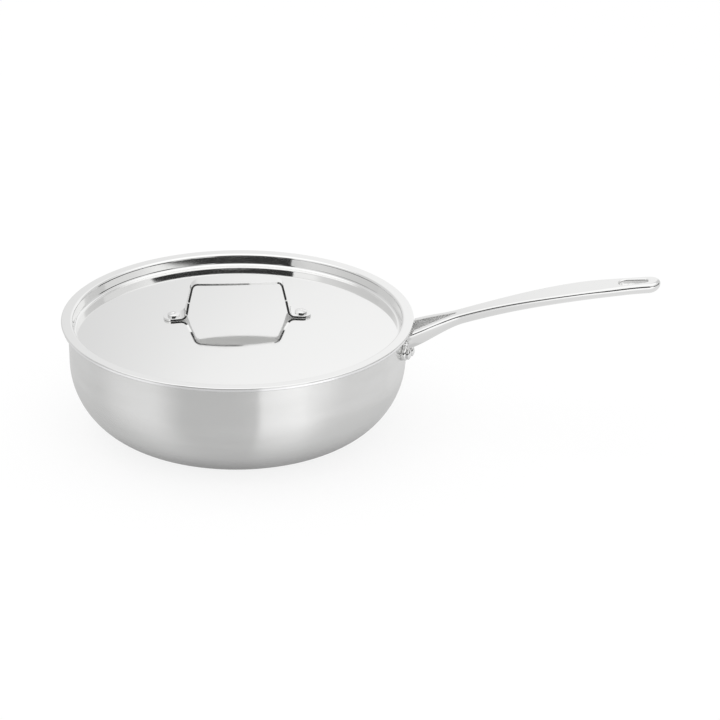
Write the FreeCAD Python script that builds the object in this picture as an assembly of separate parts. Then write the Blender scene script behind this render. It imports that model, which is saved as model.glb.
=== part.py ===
"""A deep stainless saute pan with a domed lid: a three-ply body, a forked cast handle on
three rivets, and a pressed lid with a bent strap grip on two rivets. Millimetres, +Z up,
origin at the middle of the flat base, the long handle along +X."""
import FreeCAD, Part
import math
import os
from FreeCAD import Matrix, Placement, Rotation, Vector

os.makedirs("parts", exist_ok=True)

UP = Vector(0, 0, 1)
ORIGIN = Vector(0, 0, 0)
FULL_TURN = 360.0
HALF_TURN = 180.0
QUARTER_TURN = 90.0
HALF_SHARE = 0.5

# Pan body, outer surface
wall_height = 30.56
wall_radius = 144.0
wall_draft = 1.3
bowl_radius = 65.0
heel_radius = 30.0
heel_angle = 23.0
neck_radius = 2.0
lip_width = 5.0

# Plies of the clad sheet, from outside to inside
outer_skin = 0.5
core_sheet = 1.8
inner_skin = 0.4
bond_gap = 0.02

# Long handle, measured along its top face
handle_length = 214.5
handle_rise = 51.65
handle_bow = 8.1
handle_root_drop = 3.7
root_width = 35.5
waist_width = 15.2
grip_width = 26.6
nose_width = 20.6
root_depth = 18.8
grip_depth = 10.6
waist_share = 0.22
grip_share = 0.70
handle_steps = 14

# Fork of the long handle
fork_length = 45.0
fork_mouth_width = 25.5
fork_tip_radius = 1.0

# Hanging hole near the handle's tip
hang_big_radius = 5.8
hang_small_radius = 3.6
hang_span = 15.1
hang_tip_distance = 29.1

# Foot plate of the handle, curved to the pan
foot_thickness = 4.0
foot_top_drop = 8.0
foot_band_height = 13.0
ear_radius = 6.0
ear_angle = 8.2
ear_drop = 18.6
lobe_drop = 24.5
foot_fit = 0.08
lip_clearance = 0.6

# Handle rivets
rivet_head_radius = 4.6
rivet_head_height = 3.6
rivet_shank_radius = 2.5
rivet_inner_radius = 5.5
rivet_inner_height = 1.8
rivet_fit = 0.05
head_side_share = 0.55

# Lid sheet, upper surface
lid_overhang = 1.0
lid_sheet = 1.2
lid_seat_gap = 0.05
plug_clearance = 0.6
recess_depth = 9.7
recess_draft = 8.0
flange_bend_radius = 2.4
recess_foot_radius = 2.6
dome_radius = 720.0
lid_side_clearance = 0.8

# Lid grip, a bent flat strap
lid_turn = 8.0
strap_thickness = 2.0
tab_spacing = 108.0
tab_width = 17.8
leg_foot_half = 43.6
leg_top_half = 36.4
leg_flare_share = 0.55
neck_width = 9.0
lens_width = 20.6
grip_clear_height = 30.5
grip_slope = 5.0
grip_bow_share = 0.8
strap_bend_radius = 5.0
tab_fit = 0.05

# Lid rivets
lid_rivet_head_radius = 5.2
lid_rivet_head_height = 2.4
lid_rivet_dimple_radius = 2.6
lid_rivet_dimple_depth = 0.8
lid_rivet_shank_radius = 2.4
lid_rivet_inner_radius = 4.6
lid_rivet_inner_height = 1.6

# One overrun serves every cut
overrun = 20.0


def flat(radius, height):
    """A point of a profile in the XZ plane."""
    return Vector(radius, 0, height)


def line(start, end):
    return Part.LineSegment(start, end).toShape()


def arc(start, middle, end):
    return Part.Arc(start, middle, end).toShape()


def sine(degrees):
    return math.sin(math.radians(degrees))


def cosine(degrees):
    return math.cos(math.radians(degrees))


def tangent(degrees):
    return math.tan(math.radians(degrees))


def turned(edges):
    """The solid that a closed outline in the XZ plane makes when turned about Z."""
    face = Part.Face(Part.Wire(Part.__sortEdges__(edges)))
    solid = face.revolve(ORIGIN, UP, FULL_TURN)
    return Part.Solid(solid.Shells[0]) if solid.ShapeType != "Solid" else solid


def cylinder_between(start, end, radius):
    axis = end.sub(start)
    return Part.makeCylinder(radius, axis.Length, start, axis)


def along(point, direction, distance):
    return point.add(Vector(direction).multiply(distance))


def rounded(corners, radii):
    """Edges of a closed outline whose corners are rounded by these radii, zero for a sharp one."""
    count = len(corners)
    starts = []
    edges = []
    for i in range(count):
        corner = corners[i]
        before = corners[i - 1].sub(corner).normalize()
        after = corners[(i + 1) % count].sub(corner).normalize()
        half_angle = before.getAngle(after) * HALF_SHARE
        setback = radii[i] / math.tan(half_angle)
        starts.append((along(corner, before, setback), along(corner, after, setback)))
        if radii[i] > 0:
            inward = before.add(after).normalize()
            middle = along(corner, inward, radii[i] / math.sin(half_angle) - radii[i])
            edges.append(arc(starts[i][0], middle, starts[i][1]))
    for i in range(count):
        edges.append(line(starts[i - 1][1], starts[i][0]))
    return edges


# Pan profile: heel arc, bowl arc, drafted wall, neck arc and lip, all tangent
wall_sheet = outer_skin + core_sheet + inner_skin + bond_gap + bond_gap
lip_radius = wall_radius + lip_width
lid_radius = lip_radius + lid_overhang
wall_angle = QUARTER_TURN - wall_draft
bowl_foot_height = heel_radius - heel_radius * cosine(heel_angle)
bowl_top_height = bowl_foot_height + bowl_radius * (cosine(heel_angle) - cosine(wall_angle))
neck_height = bowl_top_height + wall_height
lip_underside = neck_height + neck_radius - neck_radius * sine(wall_draft)
pan_height = lip_underside + wall_sheet
bowl_top_radius = wall_radius - wall_height * tangent(wall_draft)
bowl_foot_radius = bowl_top_radius - bowl_radius * (sine(wall_angle) - sine(heel_angle))
base_radius = bowl_foot_radius - heel_radius * sine(heel_angle)
heel_centre = flat(base_radius, heel_radius)
bowl_centre = flat(bowl_top_radius - bowl_radius * sine(wall_angle),
                   bowl_top_height + bowl_radius * cosine(wall_angle))
neck_centre = flat(wall_radius + neck_radius * cosine(wall_draft), lip_underside - neck_radius)


def on_arc(centre, radius, degrees):
    """The point of a round whose outward normal leans this far from straight down."""
    return centre.add(flat(radius * sine(degrees), -radius * cosine(degrees)))


def on_neck(radius, degrees):
    """The point of the neck's round, which is hollow outwards."""
    return neck_centre.add(flat(-radius * sine(degrees), radius * cosine(degrees)))


def pan_surface(inset):
    """Edges of the pan's surface at a depth below its outer face, from the axis to the lip."""
    heel = heel_radius - inset
    bowl = bowl_radius - inset
    neck = neck_radius + inset
    base_edge = on_arc(heel_centre, heel, 0)
    bowl_foot = on_arc(heel_centre, heel, heel_angle)
    bowl_top = on_arc(bowl_centre, bowl, wall_angle)
    neck_foot = on_neck(neck, wall_angle)
    neck_top = on_neck(neck, 0)
    lip_edge = flat(lip_radius, neck_top.z)
    return [
        line(flat(0, inset), base_edge),
        arc(base_edge, on_arc(heel_centre, heel, heel_angle * HALF_SHARE), bowl_foot),
        arc(bowl_foot, on_arc(bowl_centre, bowl, (heel_angle + wall_angle) * HALF_SHARE), bowl_top),
        line(bowl_top, neck_foot),
        arc(neck_foot, on_neck(neck, wall_angle * HALF_SHARE), neck_top),
        line(neck_top, lip_edge),
    ]


def pan_ply(inset, sheet):
    """One sheet of the clad body between two depths below the outer face."""
    deep = inset + sheet
    edges = pan_surface(inset) + pan_surface(deep)
    edges.append(line(flat(0, inset), flat(0, deep)))
    edges.append(line(flat(lip_radius, lip_underside + inset), flat(lip_radius, lip_underside + deep)))
    return turned(edges)


def wall_at(height):
    """Outer radius of the drafted wall at a height."""
    return wall_radius - (neck_height - height) * tangent(wall_draft)


# Rivet places on the pan: azimuth in degrees and height
ear_height = pan_height - ear_drop
lobe_height = pan_height - lobe_drop
handle_rivets = {
    "handle_rivet_front": (-ear_angle, ear_height),
    "handle_rivet_back": (ear_angle, ear_height),
    "handle_rivet_lower": (0, lobe_height),
}
foot_outset = foot_fit + foot_thickness


def rivet_line(azimuth, height):
    """A point on the pan's outer wall and the outward direction square to it."""
    radius = wall_at(height)
    foot = Vector(radius * cosine(azimuth), radius * sine(azimuth), height)
    outward = Vector(
        cosine(wall_draft) * cosine(azimuth), cosine(wall_draft) * sine(azimuth), -sine(wall_draft))
    return foot, outward


def wall_band(inner_offset, outer_offset):
    """A turned band that follows the drafted wall between two offsets from its outer face."""
    low = bowl_top_height - overrun
    high = neck_height + overrun
    inner = inner_offset / cosine(wall_draft)
    outer = outer_offset / cosine(wall_draft)
    corners = [
        flat(wall_at(low) + inner, low),
        flat(wall_at(low) + outer, low),
        flat(wall_at(high) + outer, high),
        flat(wall_at(high) + inner, high),
    ]
    return turned([line(corners[i - 1], corners[i]) for i in range(len(corners))])


def domed_head(base, direction, radius, height):
    """A round rivet head: a short straight side under the cap of a ball."""
    cap = height - height * head_side_share
    ball_radius = (radius * radius + cap * cap) / (cap + cap)
    ball = Part.makeSphere(ball_radius, along(base, direction, height - ball_radius))
    far = along(base, direction, height + overrun)
    return ball.common(cylinder_between(base, far, radius))


def handle_rivet(azimuth, height):
    """A rivet with a domed outer head, a shank and a low inner head bedded on the wall."""
    foot, outward = rivet_line(azimuth, height)
    inward = Vector(outward).multiply(-1)
    outer_base = along(foot, outward, foot_outset - foot_fit)
    inner_base = along(foot, inward, wall_sheet - foot_fit)
    outer_head = domed_head(outer_base, outward, rivet_head_radius, rivet_head_height)
    inner_head = domed_head(inner_base, inward, rivet_inner_radius, rivet_inner_height)
    bed = wall_band(-wall_sheet - foot_fit, foot_outset + foot_fit)
    shank_start = along(inner_base, inward, rivet_inner_height * HALF_SHARE)
    shank_end = along(outer_base, outward, rivet_head_height * HALF_SHARE)
    shank = cylinder_between(shank_start, shank_end, rivet_shank_radius)
    return shank.fuse([outer_head.cut(bed), inner_head.cut(bed)]).removeSplitter()


def rivet_hole(azimuth, height):
    foot, outward = rivet_line(azimuth, height)
    start = along(foot, outward, -overrun)
    end = along(foot, outward, overrun)
    return cylinder_between(start, end, rivet_shank_radius + rivet_fit)


# Long handle: a D-shaped section carried along one arc of the top face
spine_start = flat(wall_radius, pan_height - handle_root_drop)
spine_end = spine_start.add(flat(handle_length, handle_rise))
spine_chord = spine_end.sub(spine_start)
spine_middle = spine_start.add(Vector(spine_chord).multiply(HALF_SHARE))
spine_middle = spine_middle.add(
    flat(-spine_chord.z, spine_chord.x).multiply(handle_bow / spine_chord.Length))
spine = Part.Arc(spine_start, spine_middle, spine_end).toShape()
nose_share = (spine.Length - nose_width * HALF_SHARE) / spine.Length


def spine_frame(share):
    """Point, tangent and upward normal of the handle's top face at a share of its length."""
    place = spine.getParameterByLength(spine.Length * share)
    point = spine.valueAt(place)
    tangent_line = spine.tangentAt(place)
    return point, tangent_line, flat(-tangent_line.z, tangent_line.x)


def eased(start, end, share):
    """A smooth step from one size to another that starts and ends level."""
    return start + (end - start) * (1 - cosine(HALF_TURN * share)) * HALF_SHARE


def handle_width(share):
    if share < waist_share:
        return eased(root_width, waist_width, share / waist_share)
    if share < grip_share:
        return eased(waist_width, grip_width, (share - waist_share) / (grip_share - waist_share))
    return eased(grip_width, nose_width, (share - grip_share) / (nose_share - grip_share))


def handle_depth(share):
    if share < waist_share:
        return eased(root_depth, grip_depth, share / waist_share)
    return grip_depth


def section_matrix(share):
    """Places a unit half disc: X across the handle, Y along its normal, Z along its tangent."""
    point, forward, normal = spine_frame(share)
    side = handle_width(share) * HALF_SHARE
    deep = handle_depth(share)
    return Matrix(
        0, normal.x * deep, forward.x, point.x,
        side, 0, 0, 0,
        0, normal.z * deep, forward.z, point.z,
        0, 0, 0, 1)


def unit_point(degrees):
    """A point of the unit half disc below the flat face."""
    return Vector(cosine(degrees), -sine(degrees), 0)


EIGHTH_TURN = QUARTER_TURN * HALF_SHARE
quarter_arcs = [
    arc(unit_point(0), unit_point(EIGHTH_TURN), unit_point(QUARTER_TURN)),
    arc(unit_point(QUARTER_TURN), unit_point(QUARTER_TURN + EIGHTH_TURN), unit_point(HALF_TURN)),
]
half_disc = Part.Wire(quarter_arcs + [line(unit_point(HALF_TURN), unit_point(0))])
quarter_disc = Part.Wire([
    quarter_arcs[0], line(unit_point(QUARTER_TURN), ORIGIN), line(ORIGIN, unit_point(0))])


def handle_bar():
    """The bar from the wall to the start of its rounded nose, and the nose turned on the end."""
    shares = [nose_share * step / handle_steps for step in range(handle_steps + 1)]
    wires = [half_disc.transformGeometry(section_matrix(share)) for share in shares]
    bar = Part.makeLoft(wires, True, False)
    root_way = spine_frame(0)[1]
    root = Part.Face(wires[0]).extrude(root_way * -overrun)
    point, forward, normal = spine_frame(nose_share)
    quarter = Part.Face(quarter_disc.transformGeometry(section_matrix(nose_share)))
    nose = quarter.revolve(point, normal, -HALF_TURN)
    return bar.fuse([root, nose])


def fork_gap():
    """The open V between the two prongs, with a rounded tip."""
    tip = flat(wall_radius + fork_length, 0)
    mouth = fork_mouth_width * HALF_SHARE
    far = (fork_length + overrun) / fork_length
    back = tip.add(Vector(-fork_length * far, mouth * far, 0))
    front = tip.add(Vector(-fork_length * far, -mouth * far, 0))
    radii = [fork_tip_radius, 0, 0]
    outline = Part.Wire(Part.__sortEdges__(rounded([tip, back, front], radii)))
    return Part.Face(outline).extrude(UP * (pan_height + pan_height))


def hang_hole():
    """A teardrop through the handle near its tip: two rounds joined by tangent lines."""
    share = (spine.Length - hang_tip_distance) / spine.Length
    point, forward, normal = spine_frame(share)
    lean = math.degrees(math.asin((hang_big_radius - hang_small_radius) / hang_span))

    def rim(middle, radius, degrees):
        return Vector(middle + radius * cosine(degrees), radius * sine(degrees), 0)

    open_angle = QUARTER_TURN - lean
    outline = Part.Wire([
        arc(rim(0, hang_big_radius, open_angle), rim(0, hang_big_radius, HALF_TURN),
            rim(0, hang_big_radius, -open_angle)),
        line(rim(0, hang_big_radius, -open_angle), rim(hang_span, hang_small_radius, -open_angle)),
        arc(rim(hang_span, hang_small_radius, -open_angle), rim(hang_span, hang_small_radius, 0),
            rim(hang_span, hang_small_radius, open_angle)),
        line(rim(hang_span, hang_small_radius, open_angle), rim(0, hang_big_radius, open_angle)),
    ])
    drop = grip_depth + overrun
    prism = Part.Face(outline).extrude(UP * (drop + overrun))
    below = along(point, normal, -drop)
    prism.Placement = Placement(below, Rotation(forward, Vector(0, 1, 0), normal, "XZY"))
    return prism


def foot_plate():
    """The plate that lies on the pan: a band with two ears and a lower lobe, each round a rivet."""
    ear_side = wall_at(ear_height) * sine(ear_angle)
    band_top = pan_height - foot_top_drop
    start = flat(wall_radius - overrun, 0)
    deep = foot_outset + overrun + overrun

    def disc(side, height):
        return Part.makeCylinder(ear_radius, deep, Vector(start.x, side, height), Vector(1, 0, 0))

    band = Part.makeBox(deep, ear_side + ear_side, foot_band_height,
                        Vector(start.x, -ear_side, band_top - foot_band_height))
    lobe = Part.makeBox(deep, ear_radius + ear_radius, band_top - lobe_height,
                        Vector(start.x, -ear_radius, lobe_height))
    discs = [disc(ear_side, ear_height), disc(-ear_side, ear_height), disc(0, lobe_height)]
    shape = band.fuse([lobe] + discs).removeSplitter()
    return wall_band(foot_fit, foot_outset).common(shape)


def keep_clear():
    """The space of the pan and of the lid's way up, which the handle stays out of."""
    below_lip = lip_underside - lip_clearance
    fit = foot_fit / cosine(wall_draft)
    corners = [
        flat(0, 0),
        flat(wall_at(0) + fit, 0),
        flat(wall_at(below_lip) + fit, below_lip),
        flat(lip_radius + lip_clearance, below_lip),
        flat(lip_radius + lip_clearance, lip_underside),
        flat(lid_radius + lid_side_clearance, lip_underside),
        flat(lid_radius + lid_side_clearance, pan_height + pan_height),
        flat(0, pan_height + pan_height),
    ]
    return turned([line(corners[i - 1], corners[i]) for i in range(len(corners))])


def long_handle():
    """The forked bar joined to its foot plate, trimmed to the pan and pierced for the rivets."""
    bar = handle_bar().cut([fork_gap(), hang_hole()])
    handle = bar.fuse(foot_plate()).cut(keep_clear())
    return handle.cut([rivet_hole(*place) for place in handle_rivets.values()]).removeSplitter()


# Lid profile: flange, bend, recess wall, foot round and dome, all tangent
flange_top = pan_height + lid_seat_gap + lid_sheet
mouth_radius = wall_at(neck_height) - wall_sheet / cosine(wall_draft)
recess_wall_top = flange_top - flange_bend_radius + flange_bend_radius * sine(recess_draft)
recess_wall_radius = (mouth_radius - plug_clearance - lid_sheet / cosine(recess_draft)
                      + (recess_wall_top - neck_height) * tangent(recess_draft))
bend_centre = flat(recess_wall_radius + flange_bend_radius * cosine(recess_draft),
                   flange_top - flange_bend_radius)
foot_height = flange_top - recess_depth + recess_foot_radius
recess_wall_foot = foot_height - recess_foot_radius * sine(recess_draft)
recess_wall_inset = (recess_wall_top - recess_wall_foot) * tangent(recess_draft)
foot_centre = flat(recess_wall_radius - recess_wall_inset - recess_foot_radius * cosine(recess_draft),
                   foot_height)
dome_lean = math.degrees(math.asin(foot_centre.x / (dome_radius + recess_foot_radius)))
dome_centre = flat(0, foot_centre.z - (dome_radius + recess_foot_radius) * cosine(dome_lean))


def lid_surface(inset):
    """Edges of the lid's surface at a depth below its upper face, from the axis to the rim."""
    dome = dome_radius - inset
    foot = recess_foot_radius + inset
    bend = flange_bend_radius - inset
    dome_top = dome_centre.add(flat(0, dome))
    dome_edge = dome_centre.add(flat(dome * sine(dome_lean), dome * cosine(dome_lean)))
    half_lean = dome_lean * HALF_SHARE
    dome_middle = dome_centre.add(flat(dome * sine(half_lean), dome * cosine(half_lean)))
    foot_turn = (dome_lean + QUARTER_TURN + recess_draft) * HALF_SHARE - dome_lean
    wall_foot = foot_centre.add(flat(foot * cosine(recess_draft), -foot * sine(recess_draft)))
    foot_middle = foot_centre.add(flat(foot * sine(foot_turn), -foot * cosine(foot_turn)))
    wall_top = bend_centre.add(flat(-bend * cosine(recess_draft), bend * sine(recess_draft)))
    bend_turn = (QUARTER_TURN + recess_draft) * HALF_SHARE
    bend_middle = bend_centre.add(flat(-bend * cosine(bend_turn), bend * sine(bend_turn)))
    flange_start = bend_centre.add(flat(0, bend))
    return [
        arc(dome_top, dome_middle, dome_edge),
        arc(dome_edge, foot_middle, wall_foot),
        line(wall_foot, wall_top),
        arc(wall_top, bend_middle, flange_start),
        line(flange_start, flat(lid_radius, flange_start.z)),
    ]


def dome_height(radius):
    """Height of the dome's upper face at a radius."""
    return dome_centre.z + math.sqrt(dome_radius * dome_radius - radius * radius)


dome_top_height = dome_height(0)
tab_place = tab_spacing * HALF_SHARE
tab_lean = math.degrees(math.asin(tab_place / dome_radius))
tab_height = dome_height(tab_place)


def tab_line(side):
    """A point on the dome under a tab's rivet and the direction square to the dome there."""
    return flat(side * tab_place, tab_height), flat(side * sine(tab_lean), cosine(tab_lean))


def lid_rivet(side):
    """A rivet with a dimpled head on the tab, a shank and a low head under the lid."""
    foot, outward = tab_line(side)
    inward = Vector(outward).multiply(-1)
    head_base = along(foot, outward, tab_fit + strap_thickness + tab_fit)
    under_base = along(foot, inward, lid_sheet + tab_fit)
    head = domed_head(head_base, outward, lid_rivet_head_radius, lid_rivet_head_height)
    head_top = along(head_base, outward, lid_rivet_head_height)
    dimple_floor = along(head_top, inward, lid_rivet_dimple_depth)
    dimple = cylinder_between(dimple_floor, along(head_top, outward, overrun), lid_rivet_dimple_radius)
    under = domed_head(under_base, inward, lid_rivet_inner_radius, lid_rivet_inner_height)
    shank_start = along(under_base, inward, lid_rivet_inner_height * HALF_SHARE)
    shank_end = along(head_base, outward, lid_rivet_head_height * HALF_SHARE)
    shank = cylinder_between(shank_start, shank_end, lid_rivet_shank_radius)
    return shank.fuse([head.cut(dimple), under]).removeSplitter()


def lid_hole(side):
    foot, outward = tab_line(side)
    start = along(foot, outward, -overrun)
    end = along(foot, outward, overrun)
    return cylinder_between(start, end, lid_rivet_shank_radius + rivet_fit)


def lid_disc():
    edges = lid_surface(0) + lid_surface(lid_sheet)
    edges.append(line(flat(0, dome_top_height), flat(0, dome_top_height - lid_sheet)))
    edges.append(line(flat(lid_radius, flange_top), flat(lid_radius, flange_top - lid_sheet)))
    return turned(edges).cut([lid_hole(-1), lid_hole(1)])


def meeting(first, first_way, second, second_way):
    """The point where two lines of the XZ plane cross."""
    apart = second.sub(first)
    share = (apart.x * second_way.z - apart.z * second_way.x) / (
        first_way.x * second_way.z - first_way.z * second_way.x)
    return along(first, first_way, share)


bow_setback = leg_top_half * grip_bow_share
grip_peak = dome_top_height + grip_clear_height + bow_setback * tangent(grip_slope * HALF_SHARE)


def strap_corners(offset):
    """Corners of the strap's surface from tab to tab, at an offset from its lower face."""
    tab_foot, tab_up = tab_line(1)
    tab_way = flat(tab_up.z, -tab_up.x)
    tab_point = along(tab_foot, tab_up, tab_fit + offset)
    leg_foot = flat(leg_foot_half, tab_height)
    leg_top = flat(leg_top_half, dome_top_height + grip_clear_height)
    leg_way = leg_top.sub(leg_foot).normalize()
    leg_point = along(leg_foot, flat(leg_way.z, -leg_way.x), offset)
    peak = flat(0, grip_peak + offset / cosine(grip_slope))
    right = [
        along(tab_point, tab_way, tab_width),
        meeting(tab_point, tab_way, leg_point, leg_way),
        meeting(leg_point, leg_way, peak, flat(cosine(grip_slope), -sine(grip_slope))),
    ]
    left = [flat(-point.x, point.z) for point in reversed(right)]
    return right + [peak] + left


def strap_outline():
    """Plan of the strap: round tabs, legs that flare towards them and a leaf-shaped grip."""
    tab_half = tab_width * HALF_SHARE
    neck_half = neck_width * HALF_SHARE
    lens_half = lens_width * HALF_SHARE
    flare_start = leg_top_half + (leg_foot_half - leg_top_half) * leg_flare_share
    right = [
        Vector(leg_top_half, neck_half, 0),
        Vector(flare_start, neck_half, 0),
        Vector(leg_foot_half, tab_half, 0),
        Vector(tab_place, tab_half, 0),
        Vector(tab_place + tab_half, 0, 0),
    ]

    def swap(point, across, up):
        return Vector(point.x * across, point.y * up, 0)

    edges = []
    for across in (-1, 1):
        for up in (-1, 1):
            edges.append(line(swap(right[0], across, up), swap(right[1], across, up)))
            edges.append(line(swap(right[1], across, up), swap(right[2], across, up)))
            edges.append(line(swap(right[2], across, up), swap(right[3], across, up)))
        ends = [swap(right[3], across, up) for up in (-1, 1)]
        edges.append(arc(ends[0], swap(right[4], across, 1), ends[1]))
    for up in (-1, 1):
        edges.append(arc(swap(right[0], -1, up), Vector(0, lens_half * up, 0), swap(right[0], 1, up)))
    return Part.Face(Part.Wire(Part.__sortEdges__(edges)))


def strap_grip():
    """The bent strap: a bowed bar with rounded bends, cut to its plan and pierced for the rivets."""
    outer_bend = strap_bend_radius + strap_thickness
    bow_radius = bow_setback / tangent(grip_slope)
    corners = strap_corners(strap_thickness) + strap_corners(0)[::-1]
    upper_half = [0, strap_bend_radius, outer_bend]
    lower_half = [0, outer_bend, strap_bend_radius]
    radii = upper_half + [bow_radius + strap_thickness] + upper_half[::-1]
    radii = radii + lower_half + [bow_radius] + lower_half[::-1]
    section = Part.Face(Part.Wire(Part.__sortEdges__(rounded(corners, radii))))
    bar = section.extrude(Vector(0, lens_width + lens_width, 0))
    bar.translate(Vector(0, -lens_width, 0))
    reach = grip_peak + overrun
    bar = bar.common(strap_outline().extrude(UP * reach))
    return bar.cut([lid_hole(-1), lid_hole(1)])


def write(name, shape):
    """Writes one piece and prints how many solids it has and its volume."""
    shape.exportStep("parts/" + name + ".step")
    print(name, len(shape.Solids), shape.isValid(), round(shape.Volume, 1))


# Pan body and its handle
holes = [rivet_hole(*place) for place in handle_rivets.values()]
depth = 0
plies = {"pan_outer_skin": outer_skin, "pan_core": core_sheet, "pan_inner_skin": inner_skin}
for name, sheet in plies.items():
    write(name, pan_ply(depth, sheet).cut(holes))
    depth = depth + sheet + bond_gap
write("handle", long_handle())
for name, place in handle_rivets.items():
    write(name, handle_rivet(*place))

# Lid, set down with its grip a little out of line with the handle
lid_pieces = {
    "lid": lid_disc(),
    "lid_grip": strap_grip(),
    "lid_rivet_left": lid_rivet(-1),
    "lid_rivet_right": lid_rivet(1),
}
for name, shape in lid_pieces.items():
    shape.rotate(ORIGIN, UP, lid_turn)
    write(name, shape)
print("base radius", round(base_radius, 2), "mouth radius", round(mouth_radius, 2))
print("flange top", round(flange_top, 2), "dome top", round(dome_top_height, 2))
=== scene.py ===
# %% [markdown]
# # A deep saute pan with its lid, dressed for a studio picture
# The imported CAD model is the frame: it fixes where every piece sits and which body it moves
# with. Steel shows every facet as a kink in its reflections, so this lesson replaces the CAD
# triangles by smooth surfaces worked out with numpy, each from the same few sizes as the part.

# %% Load the frame
import math

import bmesh
import bpy
import numpy as np
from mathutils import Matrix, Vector


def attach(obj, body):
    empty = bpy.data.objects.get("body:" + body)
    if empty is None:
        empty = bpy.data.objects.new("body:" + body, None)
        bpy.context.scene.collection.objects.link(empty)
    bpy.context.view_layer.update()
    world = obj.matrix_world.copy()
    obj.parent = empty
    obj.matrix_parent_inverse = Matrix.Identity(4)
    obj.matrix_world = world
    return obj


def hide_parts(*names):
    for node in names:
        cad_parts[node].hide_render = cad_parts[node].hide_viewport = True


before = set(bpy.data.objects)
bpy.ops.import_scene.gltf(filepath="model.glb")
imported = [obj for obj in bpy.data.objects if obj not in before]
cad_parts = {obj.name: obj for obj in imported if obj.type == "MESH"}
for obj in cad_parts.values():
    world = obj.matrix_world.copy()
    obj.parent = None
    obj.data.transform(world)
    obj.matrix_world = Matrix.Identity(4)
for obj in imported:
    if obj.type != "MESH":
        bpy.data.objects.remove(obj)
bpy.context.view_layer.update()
MM = 0.001

# %% [markdown]
# ## From arrays to meshes
# A surface here is a grid of points, so its faces follow from the numbers of rows and columns
# alone. Working out the face numbers as one array keeps the makers below free of loops. Exact
# normals from the formula can be handed over as well: then a mirror finish reflects the true
# curve and not the average of the neighbouring faces.


# %% Grid faces and mesh maker
def grid_faces(rows, columns, closed=False):
    """Corner numbers of a grid's faces: each point with its right, upper right and upper
    neighbour. A closed grid joins its last column to its first."""
    row = np.arange(rows - 1)[:, None] * columns
    column = np.arange(columns if closed else columns - 1)[None, :]
    right = (column + 1) % columns
    corners = (row + column, row + right, row + columns + right, row + columns + column)
    return np.stack(np.broadcast_arrays(*corners), axis=-1).reshape(-1, 4)


def enclosed_volume(mesh):
    """Volume inside a closed mesh: the sum over triangles of a . (b x c) / 6."""
    mesh.calc_loop_triangles()
    corners = np.empty(len(mesh.loop_triangles) * 3, np.int32)
    mesh.loop_triangles.foreach_get("vertices", corners)
    places = np.empty(len(mesh.vertices) * 3)
    mesh.vertices.foreach_get("co", places)
    a, b, c = np.moveaxis(places.reshape(-1, 3)[corners.reshape(-1, 3)], 1, 0)
    return np.einsum("ij,ij->i", a, np.cross(b, c)).sum() / 6


def make_piece(name, points, faces, normals=None, sharp_angle=None, buffed=None):
    """A smooth mesh object from points in millimetres, at the origin and unturned. Where only
    part of it is polished, buffed holds 1 or 0 for each point."""
    mesh = bpy.data.meshes.new(name)
    mesh.from_pydata((np.asarray(points) * MM).tolist(), [], faces)
    mesh.polygons.foreach_set("use_smooth", np.ones(len(mesh.polygons), bool))
    if normals is not None:
        mesh.normals_split_custom_set_from_vertices(np.asarray(normals).tolist())
    if sharp_angle is not None:
        mesh.set_sharp_from_angle(angle=math.radians(sharp_angle))
    if buffed is not None:
        mesh.attributes.new("buffed", "FLOAT", "POINT").data.foreach_set("value", buffed)
    piece = bpy.data.objects.new(name, mesh)
    bpy.context.scene.collection.objects.link(piece)
    print(name, len(mesh.polygons), "faces,", round(enclosed_volume(mesh) * 1e6, 2), "cm3")
    return piece


# %% [markdown]
# ## Turned sheets
# The pan and the lid are pressed from flat sheet. A lathe profile made of tangent arcs is how a
# die maker would draw both. Every arc is stored as a centre, a radius and two directions of its
# normal. Moving along that normal gives the other side of the sheet, exactly one thickness away,
# and the normals come for free.


# %% Profile of a turned sheet
TINY = 1e-6  # mm; nearer points count as one, and it keeps divisions away from nought
rim_steps = 8


def arc(centre, radius, start, end, count):
    """Points centre + radius * n and normals n, with n = (sin a, -cos a) for a from start to
    end in degrees: 0 looks down, 90 outwards. A hollow arc has a negative radius."""
    turn = np.radians(np.linspace(start, end, count))
    normals = np.stack([np.sin(turn), -np.cos(turn)], axis=1)
    return np.asarray(centre) + radius * normals, normals


def sheet_profile(arcs, depth, sheet, edge_radius, low_round, high_round):
    """Closed half section of a sheet: its outer face from the axis to the rim, the rim with a
    round at each face, and its inner face back. The outer face lies depth inside the arcs.
    Where two arcs meet, their common point is kept once."""
    points, normals = (np.concatenate(part) for part in zip(*arcs))
    apart = np.linalg.norm(np.diff(points, axis=0), axis=1) > TINY
    points, normals = (part[np.append(True, apart)] for part in (points, normals))
    axis_point = np.array([[0, points[0, 1]]])
    axis_normal = np.array([[0, normals[0, 1]]])
    points = np.concatenate([axis_point, points])
    normals = np.concatenate([axis_normal, normals])
    outer = points - depth * normals
    inner = (points - (depth + sheet) * normals)[::-1]
    low = arc((edge_radius - low_round, outer[-1, 1] + low_round), low_round, 0, 90, rim_steps)
    high = arc((edge_radius - high_round, inner[0, 1] - high_round), high_round,
               90, 180, rim_steps)
    return (np.concatenate([outer, low[0], high[0], inner]),
            np.concatenate([normals, low[1], high[1], -normals[::-1]]))


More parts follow.
